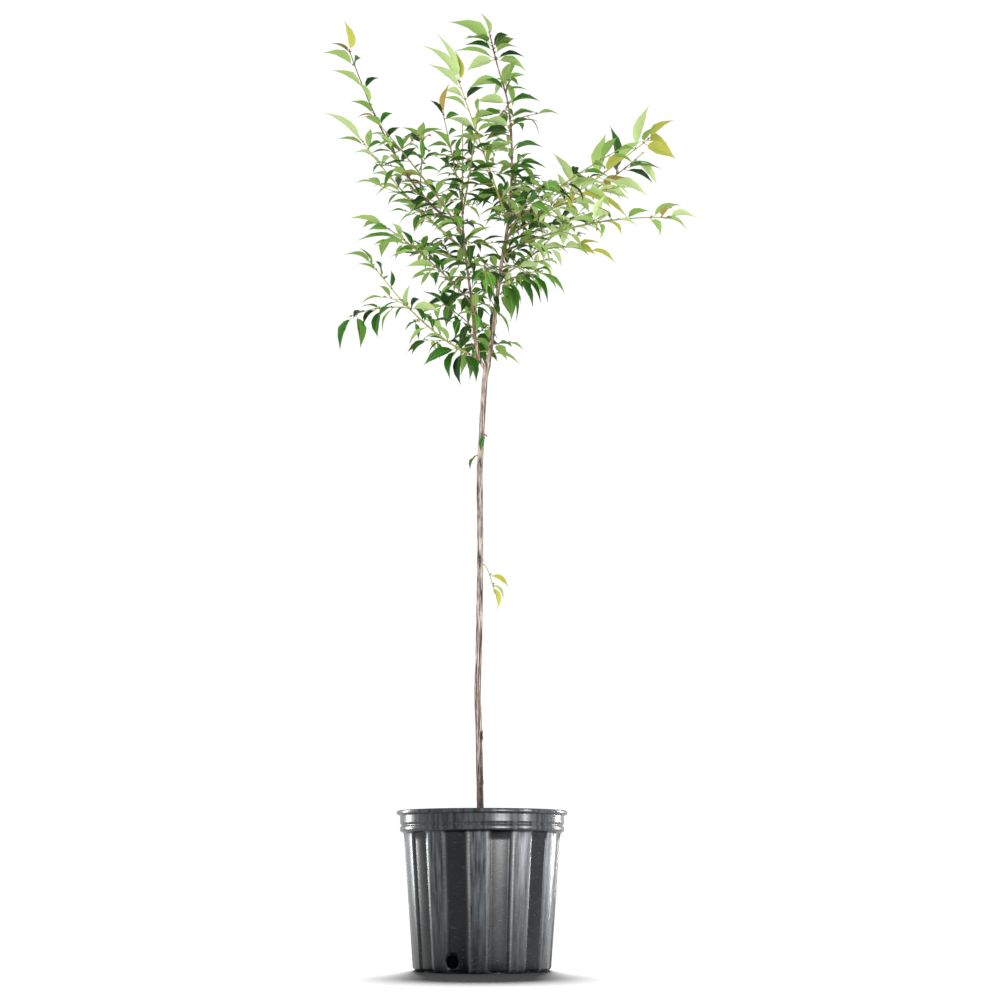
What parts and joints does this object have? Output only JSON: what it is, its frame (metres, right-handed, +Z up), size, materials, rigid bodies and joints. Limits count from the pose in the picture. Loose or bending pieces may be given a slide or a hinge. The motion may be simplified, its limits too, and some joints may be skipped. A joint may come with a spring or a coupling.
{
  "type": "potted cherry tree",
  "caption": "Young cherry tree in full leaf: slender bare trunk forking into two leaders with a loose crown of leafy shoots, in a round ribbed nursery pot.",
  "frame": {"origin": "centre of the pot's flat underside", "axes": "+Z up along the trunk, -Y towards the viewer of the picture, +X to the viewer's right"},
  "size_m": [0.7015, 0.6113, 1.7907],
  "materials": {
    "black_plastic": "dusty semi-gloss black",
    "bark_mix": "loose shredded bark potting mix",
    "bark": "smooth grey-brown young bark",
    "leaf_green": "fresh green leaves, slightly glossy"
  },
  "bodies": {
    "root": {"pot": "black_plastic", "potting_soil": "bark_mix", "trunk": "bark", "east_leader": "bark", "west_leader": "bark", "bough_northwest": "bark", "bough_west_high": "bark", "bough_west_middle": "bark", "bough_west_low": "bark", "bough_middle": "bark", "bough_northeast_front": "bark", "bough_northeast_back": "bark", "bough_east": "bark", "bough_southeast": "bark", "bough_front_high": "bark", "bough_front_west": "bark", "bough_front_middle": "bark", "bough_front_east": "bark", "bough_front_right": "bark", "bough_back_west": "bark", "bough_back_left": "bark", "bough_back_right": "bark", "bough_back_east": "bark", "foliage_northwest": "leaf_green", "foliage_west_inner": "leaf_green", "foliage_west_high": "leaf_green", "foliage_west_middle": "leaf_green", "foliage_west_low": "leaf_green", "foliage_west_short": "leaf_green", "foliage_middle": "leaf_green", "foliage_northeast_front": "leaf_green", "foliage_northeast_back": "leaf_green", "foliage_east": "leaf_green", "foliage_southeast": "leaf_green", "foliage_southeast_low": "leaf_green", "foliage_front_high": "leaf_green", "foliage_front_west": "leaf_green", "foliage_front_middle": "leaf_green", "foliage_front_east": "leaf_green", "foliage_front_right": "leaf_green", "foliage_front_low": "leaf_green", "foliage_back_high": "leaf_green", "foliage_back_west": "leaf_green", "foliage_back_left": "leaf_green", "foliage_back_right": "leaf_green", "foliage_back_east": "leaf_green", "foliage_back_low": "leaf_green", "foliage_spur_west_high": "leaf_green", "foliage_spur_west_middle": "leaf_green", "foliage_spur_west_low": "leaf_green", "foliage_spur_east_high": "leaf_green", "foliage_spur_east_middle": "leaf_green", "foliage_spur_east_low": "leaf_green", "foliage_east_top": "leaf_green", "foliage_west_top": "leaf_green", "foliage_trunk_sprout": "leaf_green", "foliage_trunk_leaf_right": "leaf_green", "foliage_trunk_leaf_left": "leaf_green"}
  },
  "joints": []
}
